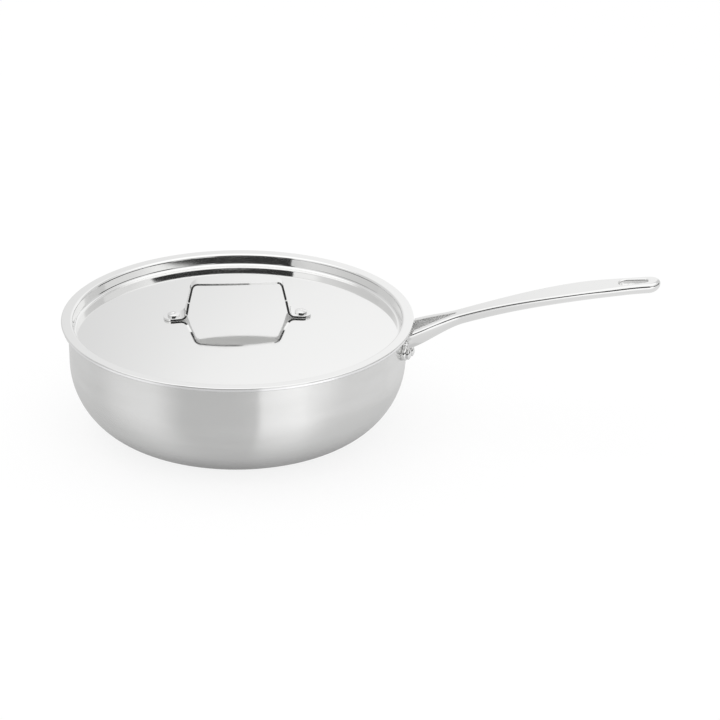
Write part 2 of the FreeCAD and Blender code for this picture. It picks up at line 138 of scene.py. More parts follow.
# %% Turning a profile
def turned(profile, normals, steps):
    """Turns a profile of (radius, height) about Z: (r cos t, r sin t, z). Its two ends lie on
    the axis and become one pole point each. Gives points, normals and faces."""
    turn = np.linspace(0, 2 * np.pi, steps, endpoint=False)
    spin = np.stack([np.cos(turn), np.sin(turn)], axis=1)

    def spun(pairs):
        """Every pair at every turn: (r cos t, r sin t, z)."""
        flat = pairs[:, None, :1] * spin[None]
        tall = np.broadcast_to(pairs[:, None, 1:], flat.shape[:2] + (1,))
        return np.concatenate([flat, tall], axis=2).reshape(-1, 3)

    def with_poles(pairs):
        """The spun pairs between the two ends, and one point on the axis for each end."""
        poles = np.array([[0, 0, pairs[0, 1]], [0, 0, pairs[-1, 1]]])
        return np.concatenate([spun(pairs[1:-1]), poles])

    rings = len(profile) - 2
    first = np.arange(steps)
    after = (first + 1) % steps
    last = first + (rings - 1) * steps
    foot = np.stack([np.full(steps, rings * steps), after, first], axis=1)
    top = np.stack([np.full(steps, rings * steps + 1), last, np.roll(last, -1)], axis=1)
    faces = grid_faces(rings, steps, closed=True).tolist() + foot.tolist() + top.tolist()
    return with_poles(profile), with_poles(normals), faces


# %% [markdown]
# ## The clad body
# Three sheets are bonded before the pan is pressed: a stainless skin outside, aluminium in the
# middle to spread the heat, and a stainless skin inside. All three follow one outer profile: a
# heel round, a wide bowl round, a drafted wall, a tight neck and a flat lip. Their edges show as
# a fine sandwich along the lip, so each sheet is a piece of its own.

# %% Outer profile of the pan
wall_height, wall_radius, wall_draft = 30.56, 144.0, 1.3
bowl_radius, heel_radius, heel_angle, neck_radius = 65.0, 30.0, 23.0, 2.0


def sine(degrees):
    """Sine of an angle in degrees."""
    return math.sin(math.radians(degrees))


def cosine(degrees):
    """Cosine of an angle in degrees."""
    return math.cos(math.radians(degrees))


wall_angle = 90 - wall_draft
bowl_foot = heel_radius * (1 - cosine(heel_angle))
bowl_top = bowl_foot + bowl_radius * (cosine(heel_angle) - cosine(wall_angle))
neck_height = bowl_top + wall_height
lip_underside = neck_height + neck_radius * (1 - sine(wall_draft))
draft_slope = math.tan(math.radians(wall_draft))
bowl_top_radius = wall_radius - wall_height * draft_slope
bowl_centre = (bowl_top_radius - bowl_radius * sine(wall_angle),
               bowl_top + bowl_radius * cosine(wall_angle))
base_radius = bowl_centre[0] + (bowl_radius - heel_radius) * sine(heel_angle)
neck_centre = (wall_radius + neck_radius * cosine(wall_draft), lip_underside - neck_radius)
pan_arcs = [
    arc((base_radius, heel_radius), heel_radius, 0, heel_angle, 12),
    arc(bowl_centre, bowl_radius, heel_angle, wall_angle, 44),
    arc(neck_centre, -neck_radius, wall_angle, 0, 14),
]
print("base radius", round(base_radius, 2), "underside of the lip", round(lip_underside, 2))

# %% Sheets inside one another
lip_width, bond_gap, round_steps = 5.0, 0.02, 288
lip_radius = wall_radius + lip_width
# each sheet's thickness, and the rounds at the lower and the upper edge of its rim
plies = {
    "outer_skin": (0.5, 0.4, 0.06),
    "core": (1.8, 0.1, 0.1),
    "inner_skin": (0.4, 0.16, 0.16),
}
pan_pieces = {}
wall_sheet = 0
for name, (sheet, low_round, high_round) in plies.items():
    profile, normals = sheet_profile(pan_arcs, wall_sheet, sheet, lip_radius, low_round, high_round)
    points, normals, faces = turned(profile, normals, round_steps)
    pan_pieces[name] = make_piece("body_" + name, points, faces, normals)
    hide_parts("pan_" + name)
    wall_sheet = wall_sheet + sheet + bond_gap
wall_sheet = wall_sheet - bond_gap
pan_height = lip_underside + wall_sheet
print("pan height", round(pan_height, 2), "sheet", round(wall_sheet, 2))

# %% [markdown]
# ## The lid
# The lid is one pressed sheet: a flat flange that lies on the lip, a short wall that plugs into
# the mouth, and a very low dome inside it. It is polished like a mirror, so the dome's slight
# rise decides what the whole disc reflects. The same profile maker serves, with its normals
# looking down, because the sheet hangs below the drawn upper face.

# %% Profile of the lid
lid_overhang, lid_sheet, seat_gap, plug_clearance = 1.0, 1.2, 0.05, 0.6
lid_radius = lip_radius + lid_overhang
recess_depth, recess_draft = 9.7, 8.0
flange_bend, recess_foot, dome_radius = 2.4, 2.6, 720.0
first_lean = -0.05  # degrees, for the dome's first ring beside the axis

flange_top = pan_height + seat_gap + lid_sheet
mouth_radius = wall_radius - wall_sheet / cosine(wall_draft)
recess_top = flange_top - flange_bend * (1 - sine(recess_draft))
draft_in = math.tan(math.radians(recess_draft))
recess_radius = (mouth_radius - plug_clearance - lid_sheet / cosine(recess_draft)
                 + (recess_top - neck_height) * draft_in)
bend_centre = (recess_radius + flange_bend * cosine(recess_draft), flange_top - flange_bend)
foot_height = flange_top - recess_depth + recess_foot
foot_end = foot_height - recess_foot * sine(recess_draft)
foot_centre = (recess_radius - (recess_top - foot_end) * draft_in
               - recess_foot * cosine(recess_draft), foot_height)
dome_lean = math.degrees(math.asin(foot_centre[0] / (dome_radius + recess_foot)))
dome_middle = foot_height - (dome_radius + recess_foot) * cosine(dome_lean)
lid_arcs = [
    arc((0, dome_middle), -dome_radius, first_lean, -dome_lean, 40),
    arc(foot_centre, recess_foot, -dome_lean, 90 - recess_draft, 30),
    arc(bend_centre, -flange_bend, 90 - recess_draft, 0, 24),
]
dome_top = dome_middle + dome_radius
print("flange at", round(flange_top, 2), "dome at", round(dome_top, 2))

# %% The pressed lid
rim_under_round, rim_top_round = 0.24, 0.95
profile, normals = sheet_profile(
    lid_arcs, -lid_sheet, lid_sheet, lid_radius, rim_under_round, rim_top_round)
points, normals, faces = turned(profile, normals, round_steps)
lid = make_piece("lid_disc", points, faces, normals)
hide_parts("lid")

# %% [markdown]
# ## Rounded plates
# The handle and the lid's grip are bars with a plan outline and softened edges. A neat way to
# round the edge of any outline is to lower the face by how close a point is to that outline: a
# quarter circle of drop over the last millimetre or two. It works along straights, round noses
# and in the corner of a fork alike, where a bevel tool would fight with the tight turns.


# %% Edge drop and smooth steps
def edge_drop(distance, radius):
    """How far a rounded edge lies below its face at a distance from the outline:
    radius - sqrt(radius^2 - (radius - distance)^2), and nothing further in than the radius."""
    inside = np.clip(radius - distance, 0, radius)
    return radius - np.sqrt(radius * radius - inside * inside)


def eased(share):
    """A smooth step from 0 to 1 that starts and ends level: (1 - cos(pi share)) / 2."""
    return (1 - np.cos(np.pi * np.clip(share, 0, 1))) / 2


def spread(start, end, count):
    """Numbers from start to end that crowd at both ends, as eased equal steps do."""
    return start + (end - start) * eased(np.linspace(0, 1, count))


def weld(piece, gap=0.002):
    """Merges points that lie together, so that halves and collapsed tips close up."""
    work = bmesh.new()
    work.from_mesh(piece.data)
    bmesh.ops.remove_doubles(work, verts=work.verts, dist=gap * MM)
    open_edges = sum(not edge.is_manifold for edge in work.edges)
    work.to_mesh(piece.data)
    work.free()
    print(piece.name, "welded,", len(piece.data.polygons), "faces,", open_edges, "open edges")


# %% [markdown]
# ## The long handle
# The real handle is cast: a flat top, a D-shaped belly, two prongs with a V between them where it
# meets the pan, and a teardrop hole to hang it by. It follows one gentle arc. Half of it is a
# grid: one parameter runs along the arc, the other from the middle, or from the edge of the V or
# the hole, out to the side. The mirrored half is welded to it along the middle line.

# %% Line and width of the handle
handle_length, handle_rise, handle_bow = 214.5, 51.65, 8.1
root_drop = 3.7
root_half, waist_half, grip_half, nose_half = 17.75, 7.6, 13.3, 10.3
root_depth, grip_depth = 18.8, 10.6
waist_share, grip_share = 0.22, 0.70

chord = math.hypot(handle_length, handle_rise)
line_radius = (chord * chord / 4 + handle_bow * handle_bow) / (2 * handle_bow)
half_sweep = math.asin(chord / 2 / line_radius)
root_lean = math.atan2(handle_rise, handle_length) + half_sweep
line_length = 2 * line_radius * half_sweep
nose_start = line_length - nose_half
root_height = pan_height - root_drop


def handle_line(along):
    """Place and lean of the handle's top line: an arc that flattens towards the tip, with lean
    = root lean - along / radius, and its sines and cosines summed up to x and z."""
    lean = root_lean - along / line_radius
    x = wall_radius + line_radius * (math.sin(root_lean) - np.sin(lean))
    z = root_height + line_radius * (np.cos(lean) - math.cos(root_lean))
    return x, z, lean


def handle_half(along):
    """Half the handle's width: root to waist to grip to nose in smooth steps, then a round."""
    share = along / line_length
    nose_share = nose_start / line_length
    to_waist = eased(share / waist_share)
    to_grip = eased((share - waist_share) / (grip_share - waist_share))
    to_nose = eased((share - grip_share) / (nose_share - grip_share))
    half = (root_half + (waist_half - root_half) * to_waist
            + (grip_half - waist_half) * to_grip + (nose_half - grip_half) * to_nose)
    past = np.clip(along - nose_start, 0, nose_half)
    return np.where(past > 0, np.sqrt(nose_half * nose_half - past * past), half)


print("handle line", round(line_length, 2), "mm, lean", round(math.degrees(root_lean), 2))

# %% [markdown]
# ### Fork and hanging hole
# Both openings are rounded shapes with straight, slanted sides: the V ends in a small round, and
# the teardrop joins a big round to a small one. Two questions are asked of each: how far a point
# lies from it, for the rounding, and how wide it is at a station, for the start of the grid.

# %% Fork and hole
fork_length, fork_half, fork_tip_round = 45.0, 12.75, 1.0
hole_big, hole_small, hole_span, hole_from_tip = 5.8, 3.6, 15.1, 29.1
fork_lean = math.atan2(fork_half, fork_length)
fork_centre = wall_radius + fork_length - fork_tip_round / math.sin(fork_lean)
hole_start = line_length - hole_from_tip
hole_lean = math.asin((hole_big - hole_small) / hole_span)


def fork_distance(along, side):
    """Distance from the V: to its slanted side, or to the small round at its tip."""
    ahead = handle_line(along)[0] - fork_centre
    flank = ahead * math.sin(fork_lean) + side * math.cos(fork_lean) - fork_tip_round
    tip = np.hypot(ahead, side) - fork_tip_round
    return np.where(ahead * math.cos(fork_lean) > side * math.sin(fork_lean), tip, flank)


def hole_distance(along, side):
    """Distance from the teardrop: to its big round, its slanted side or its small round."""
    ahead = along - hole_start
    place = ahead * math.cos(hole_lean) - side * math.sin(hole_lean)
    flank = side * math.cos(hole_lean) + ahead * math.sin(hole_lean) - hole_big
    near = np.hypot(ahead, side) - hole_big
    far = np.hypot(ahead - hole_span, side) - hole_small
    return np.where(place < 0, near, np.where(place > hole_span * math.cos(hole_lean), far, flank))


def opening_half(along):
    """Half width of the V or of the hole at a place along the handle, nought between them."""
    ahead = handle_line(along)[0] - fork_centre
    tip = np.sqrt(np.clip(fork_tip_round ** 2 - ahead ** 2, 0, None))
    flank = (fork_tip_round - ahead * math.sin(fork_lean)) / math.cos(fork_lean)
    fork = np.where(ahead > fork_tip_round * math.sin(fork_lean), tip, flank)
    into = along - hole_start
    near = np.sqrt(np.clip(hole_big ** 2 - into ** 2, 0, None))
    side = (hole_big - into * math.sin(hole_lean)) / math.cos(hole_lean)
    far = np.sqrt(np.clip(hole_small ** 2 - (into - hole_span) ** 2, 0, None))
    slant = np.where(into < hole_big * math.sin(hole_lean), near, side)
    hole = np.where(into > hole_span + hole_small * math.sin(hole_lean), far, slant)
    return np.where(into > -hole_big, hole, np.clip(fork, 0, None))


print("hole begins at", round(hole_start - hole_big, 2), "mm along the handle")

# %% [markdown]
# ### Stations
# The grid's rows stand where the shape changes fast: at the step behind the lid's rim, at both
# ends of each opening and round the nose. Between these they may be far apart.

# %% Stations along the handle
rim_gap = 0.8
step_along = (lid_radius + rim_gap - wall_radius) / math.cos(root_lean)
step_rows = step_along + np.array([-0.04, 0, 0.04, 0.1, 0.2, 0.32, 0.46, 0.8])
fork_end_x = fork_centre + fork_tip_round
fork_end = (root_lean - math.asin(
    math.sin(root_lean) - (fork_end_x - wall_radius) / line_radius)) * line_radius
hole_end = hole_start + hole_span + hole_small
hole_begin = hole_start - hole_big
stations = np.concatenate([
    np.linspace(0, step_rows[0], 10),
    step_rows[1:-1],
    spread(step_rows[-1], fork_end, 46),
    spread(fork_end, hole_begin, 110)[1:],
    spread(hole_begin, hole_end, 54)[1:],
    spread(hole_end, nose_start, 10)[1:],
    nose_start + nose_half * np.sin(np.linspace(0, np.pi / 2, 24))[1:],
])
print(len(stations), "stations, fork ends at", round(fork_end, 2))

# %% [markdown]
# ### Faces of the handle
# The top is flat and the belly is half an ellipse. Both are then lowered or raised near every
# outline, by the quarter circle from above. The nose is ground rounder than the shaft.

# %% Height of the faces
across = spread(0, 1, 40)
top_edge_round, nose_edge_round = 2.2, 3.1
opening_round, hole_round = 0.7, 1.5
widest = line_length * grip_share
along = stations[:, None]
half = handle_half(along)
gap_half = np.where((along < fork_end) | ((along > hole_begin) & (along < hole_end)),
                    opening_half(along), 0)
side = gap_half + (half - gap_half) * across[None]
past_nose = np.clip(along - nose_start, 0, None)
reach = np.where(past_nose > 0, np.hypot(past_nose, side), side)
limit = np.where(past_nose > 0, nose_half, half)
depth = root_depth + (grip_depth - root_depth) * eased(along / line_length / waist_share)
edge_round = top_edge_round + (nose_edge_round - top_edge_round) * eased(
    (along - widest) / (hole_begin - widest))
opening_drop = (edge_drop(np.clip(fork_distance(along, side), 0, None), opening_round)
                + edge_drop(np.clip(hole_distance(along, side), 0, None), hole_round))
top = -edge_drop(np.clip(limit - reach, 0, None), edge_round) - opening_drop
belly = np.sqrt(np.clip(1 - (reach / np.maximum(limit, TINY)) ** 2, 0, 1))
bottom = -edge_round - (depth - edge_round) * belly
bottom = np.minimum(bottom + opening_drop, top)
print("handle up to", round(2 * half.max(), 2), "mm wide,", round(-bottom.min(), 2), "mm deep")

# %% Faces in space
wall_fit, step_round, lip_room = 0.1, 0.5, 0.6


def on_handle(level):
    """Puts a height above the handle's top line in space. Near the root the stations are
    sheared to stand parallel to the pan's wall, and they stay clear of the lip."""
    near_root = 1 - eased(along / fork_length)
    round_wall = np.sqrt((wall_radius + wall_fit) ** 2 - side ** 2) - wall_radius
    shear = (round_wall + level * math.sin(root_lean)) / math.cos(root_lean)
    x, z, lean = handle_line(along + near_root * shear)
    x = x - level * np.sin(lean)
    z = z + level * np.cos(lean)
    beyond = np.broadcast_to(along - step_along, z.shape)
    under_lip = lip_underside - lip_room
    z = np.where(beyond < 0, np.minimum(z, under_lip),
                 np.maximum(z - edge_drop(beyond, step_round), np.minimum(z, under_lip)))
    return np.stack([x, side, z], axis=-1)


top_points, bottom_points = on_handle(top), on_handle(bottom)
print("tip at", round(top_points[..., 0].max(), 2), "root at", round(top_points[..., 0].min(), 2))

# %% [markdown]
# ### Walls between the faces
# The openings and the root get upright walls from the top to the belly. A casting is polished
# where a wheel can reach: the faces, the edges and the hole, but not the walls of the fork.

# %% Walls of the openings and of the root
down_shares = np.array([0, 0.04, 0.3, 0.65, 0.96, 1])
down = down_shares[None, :, None]
inner_wall = top_points[:, :1] * (1 - down) + bottom_points[:, :1] * down
at_edge = (down[..., 0] == 0) | (down[..., 0] == 1)
inner_buffed = at_edge | (along > fork_end)
down_root = down_shares[:, None, None]
root_cap = top_points[:1] * (1 - down_root) + bottom_points[:1] * down_root
sheets = [top_points, bottom_points, inner_wall, root_cap]
flipped = [False, True, True, True]
gap_rows = (gap_half[:-1, 0] + gap_half[1:, 0]) > 0
print(gap_rows.sum(), "of", len(gap_rows), "strips lie beside an opening")

# %% Both halves of the handle
handle_points, handle_faces, handle_buffed = [], [], []
count = 0
for mirror in (1, -1):
    for sheet, flip in zip(sheets, flipped):
        faces = grid_faces(*sheet.shape[:2])
        if sheet is inner_wall:
            faces = faces.reshape(len(gap_rows), -1, 4)[gap_rows].reshape(-1, 4)
        if flip == (mirror < 0):
            faces = faces[:, ::-1]
        handle_points.append(sheet.reshape(-1, 3) * (1, mirror, 1))
        buffed = inner_buffed if sheet is inner_wall else np.ones(sheet.shape[:2])
        handle_buffed.append(buffed.astype(float).ravel())
        handle_faces.append(faces + count)
        count = count + sheet.shape[0] * sheet.shape[1]
handle = make_piece("handle_bar", np.concatenate(handle_points),
                    np.concatenate(handle_faces).tolist(),
                    buffed=np.concatenate(handle_buffed))
weld(handle)

# %% [markdown]
# ## The foot of the handle
# Below the prongs the casting spreads into a plate that hugs the wall, with an ear on each side
# and a lobe below, one for each rivet. Its outline is seen from the handle's end: the farthest of
# a band, two discs and a lobe in every direction, with the inner corners smoothed. Rays from the
# middle to that outline make the grid, which is then laid on the wall.

# %% Outline of the foot
ear_radius, ear_angle, ear_drop, lobe_drop = 6.0, 8.2, 18.6, 24.5
foot_top_drop, band_height = 8.0, 13.0


def wall_at(height):
    """Outer radius of the pan's drafted wall at a height."""
    return wall_radius - (neck_height - height) * draft_slope


ear_height, lobe_height = pan_height - ear_drop, pan_height - lobe_drop
ear_side = wall_at(ear_height) * sine(ear_angle)
band_top = pan_height - foot_top_drop
foot_middle = band_top - band_height / 2


def disc_reach(turn, side, height):
    """Distance from the plate's middle to the far side of an ear or lobe along each ray: how far
    ahead the disc's middle lies, plus sqrt(radius^2 - its distance from the ray^2)."""
    ahead = side * np.cos(turn) + height * np.sin(turn)
    across = side * np.sin(turn) - height * np.cos(turn)
    inside = ear_radius ** 2 - across ** 2
    return np.where((inside > 0) & (ahead > 0), ahead + np.sqrt(np.clip(inside, 0, None)), 0)


def block_reach(turn, half_wide, low, high):
    """Distance from the plate's middle to the edge of an upright block along each ray: half width
    / |cos| or height / |sin|, whichever is less."""
    to_side = half_wide / np.maximum(np.abs(np.cos(turn)), TINY)
    tall = np.where(np.sin(turn) > 0, high, -low)
    return np.minimum(to_side, tall / np.maximum(np.abs(np.sin(turn)), TINY))


foot_rays = 180
foot_turns = np.linspace(0, 2 * np.pi, foot_rays, endpoint=False)
outline = np.maximum.reduce([
    block_reach(foot_turns, ear_side, -band_height / 2, band_height / 2),
    block_reach(foot_turns, ear_radius, lobe_height - foot_middle, band_height / 2),
    disc_reach(foot_turns, ear_side, ear_height - foot_middle),
    disc_reach(foot_turns, -ear_side, ear_height - foot_middle),
    disc_reach(foot_turns, 0, lobe_height - foot_middle),
])
corner_weights = np.array([1, 2, 3, 2, 1]) / 9
lapped = np.concatenate([outline[-2:], outline, outline[:2]])
outline = np.convolve(lapped, corner_weights, "valid")
print("foot reaches", round(outline.max(), 2), "mm from its middle")

# %% The foot plate
foot_thickness, foot_fit, foot_round = 4.0, 0.08, 1.1
rim_share = 0.2
rim_shares = 1 - rim_share * np.cos(np.linspace(0, np.pi / 2, 12))
shares = np.concatenate([np.linspace(0, 1 - rim_share, 9), rim_shares[1:]])
ray = shares[:, None] * outline[None]
foot_side = ray * np.cos(foot_turns)
foot_tall = foot_middle + ray * np.sin(foot_turns)
foot_raise = foot_thickness - edge_drop((1 - shares[:, None]) * outline[None], foot_round)


def on_wall(raised):
    """Lays plan points of the foot on the pan's wall, raised square to it: with the radius of
    the raised wall at a point's height, x = sqrt(radius^2 - side^2)."""
    radius = wall_at(foot_tall) + (foot_fit + raised) / cosine(wall_draft)
    x = np.sqrt(radius ** 2 - foot_side ** 2)
    return np.stack([x, foot_side, foot_tall], axis=-1)


face = on_wall(foot_raise)
back = on_wall(np.zeros_like(foot_raise))
plate = np.concatenate([face, back[::-1]])
foot_plate = make_piece("handle_foot", plate.reshape(-1, 3),
                        grid_faces(*plate.shape[:2], closed=True)[:, ::-1].tolist(),
                        buffed=np.ones(plate.shape[0] * plate.shape[1]))
weld(foot_plate)
for piece in (handle, foot_plate):
    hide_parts("handle")

# %% [markdown]
# ## Rivets
# Three rivets hold the handle, and two hold the grip. A rivet is a turned piece: a drum-like head
# with a slight crown, a shank, and the low head that the press forms on the far side. The lid's
# rivets carry a dimple from the tool that set them. The profile is turned about Z and then stood
# on the wall or on the dome. Smooth shading rounds it, with the few real corners kept sharp.


# %% Rivet maker
head_side_share, knee_steps, corner_angle = 0.55, 8, 38


def rivet_head(radius, height, base, shoulder, count=14):
    """Half profile of a head from its top down to its foot: a ball's cap, a small round that
    touches both the cap and the side, and the straight side."""
    cap = height * (1 - head_side_share)
    ball = (radius * radius + cap * cap) / (2 * cap)
    lean = math.asin((radius - shoulder) / (ball - shoulder))
    middle = base + height - ball
    crown = np.linspace(0, lean, count)
    knee = np.linspace(lean, math.pi / 2, knee_steps)
    knee_height = middle + (ball - shoulder) * math.cos(lean)
    return np.concatenate([
        np.stack([ball * np.sin(crown), middle + ball * np.cos(crown)], axis=1),
        np.stack([radius - shoulder + shoulder * np.sin(knee),
                  knee_height + shoulder * np.cos(knee)], axis=1)[1:],
        [[radius, base]]])


def rivet(name, head, shank_radius, under, foot, axis, steps=48):
    """Turns head, shank and lower head into one closed piece and stands it on foot along axis.
    The lower head is given upright and is turned over."""
    low = under[::-1] * (1, -1)
    neck = np.array([[shank_radius, head[-1, 1]], [shank_radius, low[0, 1]]])
    profile = np.concatenate([head, neck, low])[::-1]
    points, _, faces = turned(profile, profile, steps)
    axis = np.asarray(axis, float)
    across = np.cross((0, 1, 0), axis)
    across = across / np.linalg.norm(across)
    frame_axes = np.stack([across, np.cross(axis, across), axis])
    return make_piece(name, np.asarray(foot) + points @ frame_axes, faces,
                      sharp_angle=corner_angle)


# %% [markdown]
# ### Rivets of the handle
# They stand square to the drafted wall, one through each ear and one through the lobe. Inside the
# pan each shows a wide, low head. All three are the same rivet, so one profile serves.

# %% Handle rivets
head_radius, head_rise, head_shoulder, shank_radius = 4.6, 3.6, 0.9, 2.5
inner_radius, inner_rise, inner_shoulder = 5.5, 1.8, 0.5
rivet_places = {
    "rivet_front": (-ear_angle, ear_height),
    "rivet_back": (ear_angle, ear_height),
    "rivet_lower": (0, lobe_height),
}
head = rivet_head(head_radius, head_rise, foot_thickness + 2 * foot_fit, head_shoulder)
under = rivet_head(inner_radius, inner_rise, wall_sheet + foot_fit, inner_shoulder)
pan_rivets = []
for name, (turn, height) in rivet_places.items():
    radius = wall_at(height)
    foot = (radius * cosine(turn), radius * sine(turn), height)
    axis = (cosine(wall_draft) * cosine(turn), cosine(wall_draft) * sine(turn), -sine(wall_draft))
    pan_rivets.append(rivet(name, head, shank_radius, under, foot, axis))
    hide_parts("handle_" + name)

# %% [markdown]
# ### Rivets of the lid
# They stand square to the dome, one through each tab of the grip, and their crown is pressed in by
# the setting tool. The lid was put down with its grip turned a little, so the places are worked
# out along X and then turned about the axis.

# %% Lid rivets
lid_turn, tab_place = 8.0, 54.0
strap_thickness, tab_fit = 2.0, 0.05
lid_head_radius, lid_head_rise, lid_shoulder, lid_shank = 5.2, 2.4, 0.5, 2.4
lid_inner_radius, lid_inner_rise, lid_inner_shoulder = 4.6, 1.6, 0.4
dimple_radius, dimple_depth, dimple_steps = 2.6, 0.8, 40
tab_lean = math.degrees(math.asin(tab_place / dome_radius))
tab_height = dome_middle + math.sqrt(dome_radius ** 2 - tab_place ** 2)


def turned_by(points, degrees):
    """Turns points about the Z axis: (x cos - y sin, x sin + y cos, z)."""
    c, s = cosine(degrees), sine(degrees)
    return np.asarray(points) @ np.array([[c, s, 0], [-s, c, 0], [0, 0, 1]])


head = rivet_head(lid_head_radius, lid_head_rise, strap_thickness + 2 * tab_fit, lid_shoulder,
                  dimple_steps)
head[:, 1] = head[:, 1] - dimple_depth * (1 - eased(head[:, 0] / dimple_radius))
under = rivet_head(lid_inner_radius, lid_inner_rise, lid_sheet + tab_fit, lid_inner_shoulder)
lid_rivets = []
for name, way in {"rivet_left": -1, "rivet_right": 1}.items():
    foot = turned_by((way * tab_place, 0, tab_height), lid_turn)
    axis = turned_by((way * sine(tab_lean), 0, cosine(tab_lean)), lid_turn)
    lid_rivets.append(rivet(name, head, lid_shank, under, foot, axis))
    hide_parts("lid_" + name)

# %% [markdown]
# ## The lid's grip
# One flat strap is cut to a leaf with two round tabs, then bent up into legs and a slightly bowed
# top. A path runs along the middle of the sheet through rounded bends. Its half width follows the
# cut, and both faces drop towards the outline as on the handle.

# %% Path helpers
bend_steps, least_gap = 14, 0.2


def meeting(first, first_way, second, second_way):
    """The point where two lines of a plane cross: along the first line by the share at which the
    distance from the second is nought."""
    square = np.array([second_way[1], -second_way[0]])
    return first + first_way * ((second - first) @ square) / (first_way @ square)


def rounded_path(corners, radii, gap):
    """A path through corners, each replaced by an arc tangent to both its runs, sampled about
    every gap along the arcs and along the runs."""
    pieces = [corners[:1]]
    for before, corner, after, radius in zip(corners, corners[1:], corners[2:], radii):
        back = (before - corner) / np.linalg.norm(before - corner)
        on = (after - corner) / np.linalg.norm(after - corner)
        half_angle = math.acos(np.clip(back @ on, -1, 1)) / 2
        inward = (back + on) / np.linalg.norm(back + on)
        centre = corner + inward * radius / math.sin(half_angle)
        sweep = np.linspace(-1, 1, bend_steps) * (math.pi / 2 - half_angle)
        flat = (on - back) / np.linalg.norm(on - back)
        pieces.append(centre + radius * (np.sin(sweep)[:, None] * flat
                                         - np.cos(sweep)[:, None] * inward))
    pieces.append(corners[-1:])
    path = np.concatenate(pieces)
    lengths = np.concatenate([[0], np.cumsum(np.linalg.norm(np.diff(path, axis=0), axis=1))])
    extra = np.arange(gap, lengths[-1], gap)
    clear = np.abs(extra[:, None] - lengths).min(1) > least_gap
    places = np.unique(np.concatenate([lengths, extra[clear]]))
    return np.stack([np.interp(places, lengths, path[:, axis]) for axis in (0, 1)], axis=1)


# %% Path of the strap
leg_foot_half, leg_top_half, tab_half = 43.6, 36.4, 8.9
grip_clear, grip_slope, bow_share, bend_radius, path_gap = 30.5, 5.0, 0.8, 6.0, 1.5
mid = strap_thickness / 2
tab_up = np.array([sine(tab_lean), cosine(tab_lean)])
tab_way = np.array([tab_up[1], -tab_up[0]])
tab_point = np.array([tab_place, tab_height]) + tab_up * (tab_fit + mid)
leg_foot = np.array([leg_foot_half, tab_height])
leg_way = np.array([leg_top_half, dome_top + grip_clear]) - leg_foot
leg_way = leg_way / np.linalg.norm(leg_way)
leg_point = leg_foot + mid * np.array([leg_way[1], -leg_way[0]])
bow_setback = leg_top_half * bow_share
peak_height = dome_top + grip_clear + bow_setback * math.tan(math.radians(grip_slope / 2))
peak = np.array([0, peak_height + mid / cosine(grip_slope)])
top_way = np.array([cosine(grip_slope), -sine(grip_slope)])
tab_end = tab_point + tab_way * tab_half / tab_way[0]
right = np.array([meeting(leg_point, leg_way, peak, top_way),
                  meeting(tab_point, tab_way, leg_point, leg_way), tab_end])
corners = np.concatenate([right[::-1] * (-1, 1), peak[None], right])
bow_radius = bow_setback / math.tan(math.radians(grip_slope)) + mid
bends = [bend_radius, bend_radius]
strap_path = rounded_path(corners, bends + [bow_radius] + bends, path_gap)
print("strap path of", len(strap_path), "points, peak at", round(strap_path[:, 1].max(), 2))

# %% [markdown]
# ### Cut and surface of the strap
# Seen from above, the cut is a leaf with slim legs and round tabs. The path gets extra stations at
# the tabs, so that their ends come out round. The edges are barely broken, as on a sheared strap.

# %% Cut of the strap
neck_half, lens_half, flare_share, tab_room = 4.5, 10.3, 0.70, 0.5
flare_start = leg_top_half + (leg_foot_half - leg_top_half) * flare_share
lens_radius = (leg_top_half ** 2 + (lens_half - neck_half) ** 2) / (2 * (lens_half - neck_half))


def strap_half(plan):
    """Half the strap's width over its plan: a leaf-shaped arc, legs as wide as the neck that
    flare at their foot, round tabs."""
    plan = np.abs(plan)
    leaf = np.sqrt(np.clip(lens_radius ** 2 - plan ** 2, 0, None)) - (lens_radius - lens_half)
    leg = neck_half + (tab_half - neck_half) * np.clip(
        (plan - flare_start) / (leg_foot_half - flare_start), 0, 1)
    tab = np.sqrt(np.clip(tab_half ** 2 - np.clip(plan - tab_place, 0, None) ** 2, 0, None))
    return np.where(plan < leg_top_half, leaf, np.minimum(leg, tab))


tab_turns = np.sin(np.linspace(0, np.pi / 2, 20)) * tab_half
inside_tabs = strap_path[np.abs(strap_path[:, 0]) < tab_place - tab_room]
tab_start = tab_point + tab_way * (tab_place - tab_point[0]) / tab_way[0]
tab_ends = tab_start + (tab_turns / tab_way[0])[:, None] * tab_way
strap_path = np.concatenate([tab_ends[::-1] * (-1, 1), inside_tabs, tab_ends])
way = np.gradient(strap_path, axis=0)
way = way / np.linalg.norm(way, axis=1)[:, None]
up = np.stack([-way[:, 1], way[:, 0]], axis=1)
print(len(strap_path), "stations along the strap")

# %% Surface of the strap
strap_round, edge_margin = 0.16, 0.06
strap_across = spread(-1, 1, 33)
plan = strap_path[:, :1]
strap_side = strap_half(plan) * strap_across
past_tab = np.clip(np.abs(plan) - tab_place, 0, None)
to_edge = np.where(past_tab > 0, tab_half - np.hypot(past_tab, strap_side),
                   strap_half(plan) - np.abs(strap_side))
strap_drop = edge_drop(np.clip(to_edge, 0, None), strap_round)


def on_strap(level, side):
    """Lifts points of the strap off its path by a level along the path's upright."""
    x = plan + up[:, :1] * level
    z = strap_path[:, 1:] + up[:, 1:] * level
    return np.stack([x, np.broadcast_to(side, x.shape), z], axis=-1)


